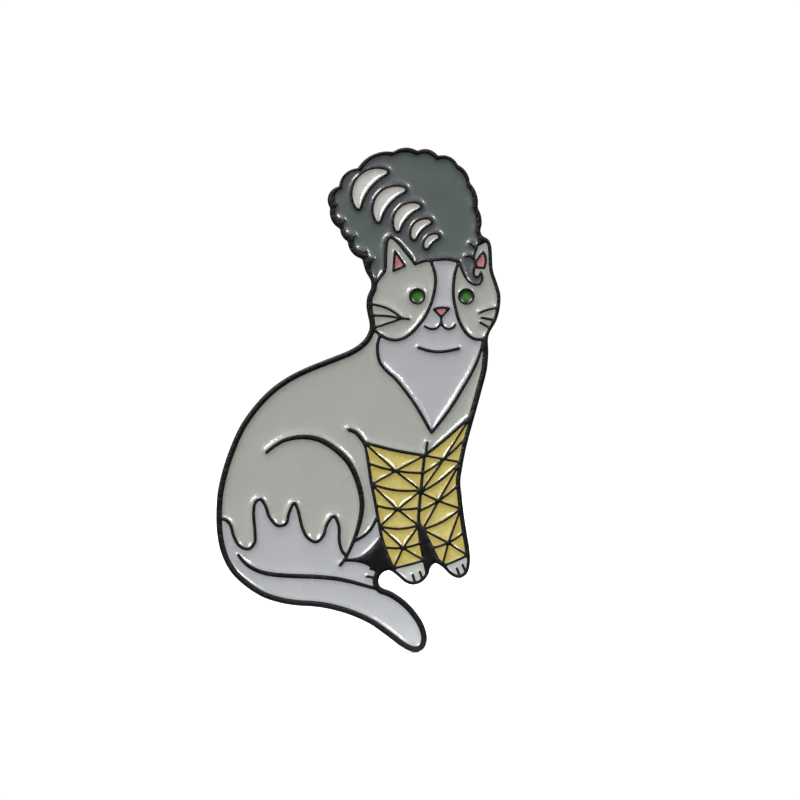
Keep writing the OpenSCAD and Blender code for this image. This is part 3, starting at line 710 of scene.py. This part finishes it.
def slab_faces(rows, columns):
    """Faces of a slab of two grids, and of the edge between them."""
    count = rows * columns
    faces = []
    for i in range(rows - 1):
        for j in range(columns - 1):
            a = i * columns + j
            faces.append((a, a + 1, a + columns + 1, a + columns))
            faces.append(tuple(count + k for k in (a, a + columns, a + columns + 1, a + 1)))
    border = list(range(columns)) + [i * columns + columns - 1 for i in range(1, rows)]
    border += [count - 1 - j for j in range(1, columns)] + [i * columns for i in range(rows - 2, 0, -1)]
    for a, b in zip(border, border[1:] + border[:1]):
        faces.append((a, b, b + count, a + count))
    return faces


def wing_skin():
    """Points (x, z, height) and faces of a right-hand wing: a bent, ribbed slab with its knuckle."""
    points, rows, columns = wing_sheets()
    half = WING_W / 2
    knuckle = softened([(0, -half), (KNUCKLE_R, -half), (KNUCKLE_R, half), (0, half)], 0.1, closed=False)
    rod, rod_faces = lathe(knuckle, closed=False, count=32)
    rod = [(KNUCKLE_AT[0] + p[0], p[2], KNUCKLE_AT[1] + p[1]) for p in rod]
    return joined([(points, slab_faces(rows, columns)), (rod, rod_faces)])


def clutch_wing(name, node, at, body, side):
    """One spring wing: pinching both opens the jaw round the post."""
    points, faces = wing_skin()
    points = [(side * x, z, h) for x, z, h in points]
    piece = make_piece(name, on_post(at, points, GAP), faces, BRASS)
    smooth_by_angle(piece, 40)
    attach(piece, body)
    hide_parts(node)
    return piece


# ---------------------------------------------------------------- materials


def new_material(name):
    """A material with its nodes and links."""
    material = bpy.data.materials.new(name)
    material.use_nodes = True
    return material, material.node_tree.nodes, material.node_tree.links


def linear(*srgb):
    """A colour in linear light from one in sRGB's 0 to 255."""
    return tuple((v / 255 / 12.92) if v < 11 else ((v / 255 + 0.055) / 1.055) ** 2.4 for v in srgb) + (1,)


def scaled(colour, by):
    """A colour made lighter or darker."""
    return tuple(min(1, c * by) for c in colour[:3]) + (1,)


def give(links, value, socket):
    """Give an input its value, which is another node's output or a constant."""
    if isinstance(value, bpy.types.NodeSocket):
        links.new(value, socket)
    else:
        socket.default_value = value


def noise_texture(nodes, links, place, scale, detail, roughness=0.5):
    """Cloudy noise between 0 and 1."""
    texture = nodes.new("ShaderNodeTexNoise")
    texture.inputs["Scale"].default_value = scale
    texture.inputs["Detail"].default_value = detail
    texture.inputs["Roughness"].default_value = roughness
    links.new(place, texture.inputs["Vector"])
    return texture.outputs["Fac"]


def remap(nodes, links, value, start_end, low_high, smooth=False):
    """A value stretched from one range to another, and held at its ends."""
    stretch = nodes.new("ShaderNodeMapRange")
    stretch.interpolation_type = "SMOOTHSTEP" if smooth else "LINEAR"
    stretch.inputs["From Min"].default_value, stretch.inputs["From Max"].default_value = start_end
    stretch.inputs["To Min"].default_value, stretch.inputs["To Max"].default_value = low_high
    links.new(value, stretch.inputs["Value"])
    return stretch.outputs["Result"]


def arithmetic(nodes, links, operation, *values, clamp=False):
    """A sum of numbers and outputs."""
    node = nodes.new("ShaderNodeMath")
    node.operation = operation
    node.use_clamp = clamp
    for value, socket in zip(values, node.inputs):
        give(links, value, socket)
    return node.outputs["Value"]


def colour_mix(nodes, links, factor, first, second):
    """One colour going over into another."""
    mix = nodes.new("ShaderNodeMix")
    mix.data_type = "RGBA"
    give(links, factor, mix.inputs["Factor"])
    give(links, first, mix.inputs["A"])
    give(links, second, mix.inputs["B"])
    return mix.outputs["Result"]


def ramp(nodes, links, value, *stops):
    """A colour for each value, between two stops of a place and a colour."""
    node = nodes.new("ShaderNodeValToRGB")
    for element, (place, colour) in zip(node.color_ramp.elements, stops):
        element.position, element.color = place, colour
    links.new(value, node.inputs["Fac"])
    return node.outputs["Color"]


def bump(nodes, links, height, strength, distance):
    """Roughen the shader's surface, and its coat where it has one."""
    node = nodes.new("ShaderNodeBump")
    node.inputs["Strength"].default_value = strength
    node.inputs["Distance"].default_value = distance
    links.new(height, node.inputs["Height"])
    shader = nodes["Principled BSDF"]
    links.new(node.outputs["Normal"], shader.inputs["Normal"])
    if shader.inputs["Coat Weight"].default_value > 0:
        links.new(node.outputs["Normal"], shader.inputs["Coat Normal"])


def dirt_and_wall_shade(nodes, links, place):
    """How much a pool's colour is darkened along its walls: painted shade of the recess, with blots of dirt.
    """
    near = nodes.new("ShaderNodeAttribute")
    near.attribute_name = "near_wall"
    blots = arithmetic(nodes, links, "MULTIPLY_ADD", noise_texture(nodes, links, place, 1500, 3), 0.9, -0.42)
    # The pool's rise at its walls gives painted shade there; the noise blots add dirt
    wall_shade_and_dirt = arithmetic(nodes, links, "ADD", near.outputs["Fac"], blots, clamp=True)
    return remap(nodes, links, wall_shade_and_dirt, (0.28, 1), (0, 1), smooth=True)


def specks(nodes, links, place):
    """A few small round specks."""
    cells = nodes.new("ShaderNodeTexVoronoi")
    cells.inputs["Scale"].default_value = 520
    links.new(place, cells.inputs["Vector"])
    return remap(nodes, links, cells.outputs["Distance"], (0.015, 0.05), (0.4, 0))


def enamel_material(name, srgb, edge, mottle=0.07, gloss=0.5):
    """Glossy hardened enamel: uneven in colour, darker at the walls with painted shade and some dirt, with
    dark specks and small ripples.
    """
    material, nodes, links = new_material(name)
    shader = nodes["Principled BSDF"]
    shader.inputs["Specular IOR Level"].default_value = 0.5
    shader.inputs["Coat Weight"].default_value = gloss
    shader.inputs["Coat Roughness"].default_value = 0.03
    base = linear(*srgb)
    place = nodes.new("ShaderNodeTexCoord").outputs["Object"]
    cloud = noise_texture(nodes, links, place, 240, 1)
    colour = colour_mix(nodes, links, cloud, scaled(base, 1 - mottle), scaled(base, 1 + mottle))
    # Towards its walls the pool goes over into the edge colour: painted shade of the recess, mixed with dirt
    colour = colour_mix(nodes, links, dirt_and_wall_shade(nodes, links, place), colour, linear(*edge))
    colour = colour_mix(nodes, links, specks(nodes, links, place), colour, scaled(base, 0.2))
    links.new(colour, shader.inputs["Base Color"])
    links.new(remap(nodes, links, cloud, (0, 1), (0.2, 0.36)), shader.inputs["Roughness"])
    bump(nodes, links, noise_texture(nodes, links, place, 1100, 3), 0.3, 0.00008)
    return material


def dyed_metal(name, srgb, metallic, roughness, grain):
    """Dyed or plated metal: satin, finely grained, rubbed a little paler in patches."""
    material, nodes, links = new_material(name)
    shader = nodes["Principled BSDF"]
    shader.inputs["Metallic"].default_value = metallic
    shader.inputs["Specular IOR Level"].default_value = 0.3
    base = linear(*srgb)
    place = nodes.new("ShaderNodeTexCoord").outputs["Object"]
    patches = noise_texture(nodes, links, place, 700, 6, 0.65)
    rubbed = ramp(nodes, links, patches, (0.35, scaled(base, 0.7)), (0.75, scaled(base, 2.4)))
    links.new(rubbed, shader.inputs["Base Color"])
    satin = remap(nodes, links, patches, (0, 1), (roughness - 0.1, roughness + 0.12))
    links.new(satin, shader.inputs["Roughness"])
    bump(nodes, links, noise_texture(nodes, links, place, grain, 4), 0.55, 0.00004)
    return material


def stamped_brass(name, srgb, tarnish):
    """Bright stamped sheet: rolling scratches, fingerprints of tarnish and a slight orange peel."""
    material, nodes, links = new_material(name)
    shader = nodes["Principled BSDF"]
    shader.inputs["Metallic"].default_value = 1
    base = linear(*srgb)
    dull = tuple(c * t for c, t in zip(base, (*tarnish, 1)))
    place = nodes.new("ShaderNodeTexCoord").outputs["Object"]
    cloud = noise_texture(nodes, links, place, 320, 5)
    links.new(ramp(nodes, links, cloud, (0.3, dull), (0.62, base)), shader.inputs["Base Color"])
    stretch = nodes.new("ShaderNodeMapping")
    stretch.inputs["Scale"].default_value = (500, 500, 4000)
    links.new(place, stretch.inputs["Vector"])
    scratch = noise_texture(nodes, links, stretch.outputs["Vector"], 1, 3)
    links.new(remap(nodes, links, scratch, (0, 1), (0.2, 0.42)), shader.inputs["Roughness"])
    bump(nodes, links, scratch, 0.12, 0.00003)
    return material


# ---------------------------------------------------------------- the pin


BLACK = dyed_metal("black_dyed_metal", (9, 9, 10), 0.2, 0.3, 8000)
POST_METAL = dyed_metal("dark_nickel", (112, 112, 114), 0.9, 0.34, 3200)
BRASS = stamped_brass("clutch_brass", (214, 176, 96), (0.78, 0.66, 0.5))
SPRING_STEEL = stamped_brass("spring_steel", (176, 178, 180), (0.8, 0.78, 0.75))
# The second colour of each enamel is the painted shade, with some dirt, that the pool takes on next to its
# walls
ENAMELS = {
    "quiff_grey": enamel_material("quiff_enamel", (86, 96, 95), (74, 73, 77), 0.04),
    "cream": enamel_material("cream_enamel", (203, 203, 199), (176, 174, 166), 0.04),
    "coat_grey": enamel_material("coat_enamel", (170, 172, 165), (156, 158, 151), 0.015),
    "pale_grey": enamel_material("pale_enamel", (178, 180, 183), (162, 164, 167), 0.015),
    "pink": enamel_material("pink_enamel", (218, 142, 146), (176, 108, 112)),
    "green": enamel_material("green_enamel", (56, 140, 24), (12, 46, 8), 0.5, 0.1),
    "yellow": enamel_material("yellow_enamel", (208, 194, 112), (186, 168, 88), 0.05),
}
# The paws are a little paler than the other pools of their slot
PAW_ENAMEL = enamel_material("paw_enamel", (198, 203, 199), (178, 182, 178), 0.02)

slots = {s["node"]: s["material_slot"] for s in frame["record"]["subparts"]}
cells = []
for node in [name for name in frame["nodes"] if name.startswith("enamel_")]:
    outlines = [smooth_outline(o) for o in face_outlines(node, POOL)]
    cells += outlines
    material = PAW_ENAMEL if "paw" in node else ENAMELS[slots[node]]
    enamel_pool(node, outlines, material)

silhouette = smooth_outline(max(face_outlines("die_struck_plate", TOP), key=lambda o: abs(area(o))))
plate(silhouette, cells, BLACK)

for where, at in (("upper", UPPER_POST), ("lower", LOWER_POST)):
    clutch = where + "_clutch_"
    node = "clutch_" + where + "_"
    post("post_" + where + "_pin", "post_" + where, at)
    clutch_base(clutch + "dish", node + "base", at, clutch + "base")
    clutch_cover(clutch + "box", node + "cover", at, clutch + "cover")
    clutch_spring(clutch + "wire", node + "spring", at, clutch + "cover")
    for side, word in ((1, "right"), (-1, "left")):
        wing_node = node + "wing_" + word
        clutch_wing(clutch + word, wing_node, at, clutch + "wing_" + word, side)


# ---------------------------------------------------------------- studio


def world(ahead, behind, overhead):
    """Soft light from all round, dim in front of the pin and brightest above and behind, in a white room."""
    sky = bpy.data.worlds.new("studio")
    sky.use_nodes = True
    nodes, links = sky.node_tree.nodes, sky.node_tree.links
    place = nodes.new("ShaderNodeTexCoord")
    split = nodes.new("ShaderNodeSeparateXYZ")
    links.new(place.outputs["Generated"], split.inputs["Vector"])
    rise = remap(nodes, links, split.outputs["Z"], (0.12, 0.7), (behind, overhead), smooth=True)
    fade = remap(nodes, links, split.outputs["Y"], (-0.06, 0.2), (ahead, 1), smooth=True)
    links.new(rise, fade.node.inputs["To Max"])
    light = nodes["Background"]
    light.inputs["Color"].default_value = (1, 1, 1, 1)
    links.new(fade, light.inputs["Strength"])
    sweep = nodes.new("ShaderNodeBackground")
    sweep.inputs["Color"].default_value = (1, 1, 1, 1)
    sweep.inputs["Strength"].default_value = behind
    seen = nodes.new("ShaderNodeLightPath")
    both = nodes.new("ShaderNodeMixShader")
    links.new(seen.outputs["Is Camera Ray"], both.inputs["Fac"])
    links.new(light.outputs["Background"], both.inputs[1])
    links.new(sweep.outputs["Background"], both.inputs[2])
    links.new(both.outputs["Shader"], nodes["World Output"].inputs["Surface"])
    bpy.context.scene.world = sky


def sun(name, direction, strength, spread):
    """A large far-off soft box that shines along a direction."""
    data = bpy.data.lights.new(name, "SUN")
    data.energy, data.angle = strength, radians(spread)
    lamp = bpy.data.objects.new(name, data)
    lamp.rotation_euler = Vector(direction).to_track_quat("-Z", "Y").to_euler()
    bpy.context.scene.collection.objects.link(lamp)


def camera(centre, width, distance):
    """A long lens facing the picture, `width` millimetres of it across the frame."""
    sensor = 36
    data = bpy.data.cameras.new("camera")
    data.sensor_width = sensor
    data.lens = sensor * distance / width
    data.clip_start, data.clip_end = 0.01, 10
    eye = bpy.data.objects.new("camera", data)
    eye.location = Vector((centre[0], -distance - TOP, centre[1])) * MM
    eye.rotation_euler = (pi / 2, 0, 0)
    bpy.context.scene.collection.objects.link(eye)
    bpy.context.scene.camera = eye


def floor(height, front, width):
    """A thin round pale table top. Little of it lies in front, where it would light the pin from below."""
    count, thickness = 96, 0.03
    outline = [(x, z + front + width / 2) for x, z in circle(width / 2, count)]
    points, faces = loft([[(x, z, h) for x, z in outline] for h in (height, height - thickness)])
    faces += [tuple(range(count)), tuple(range(count, 2 * count))]
    material, nodes, _ = new_material("pale_table")
    shader = nodes["Principled BSDF"]
    shader.inputs["Base Color"].default_value = (0.86, 0.86, 0.86, 1)
    shader.inputs["Roughness"].default_value = 0.6
    shader.inputs["Emission Color"].default_value = (1, 1, 1, 1)
    shader.inputs["Emission Strength"].default_value = 0.25
    table = make_piece("table", points, faces, material)
    smooth_by_angle(table)


floor(height=PLATE_CORNER.z / MM - 0.02, front=-7, width=700)
world(ahead=0.07, behind=1.05, overhead=3.4)
camera(centre=(4.2, -0.05), width=80, distance=440)
sun("left", direction=(0.335, 0.89, -0.31), strength=1.1, spread=13)
sun("right", direction=(-0.32, 0.89, -0.325), strength=0.64, spread=9)
sun("above", direction=(0.32, 0.5, -0.8), strength=2.25, spread=30)
bpy.context.scene.view_settings.view_transform = "Standard"
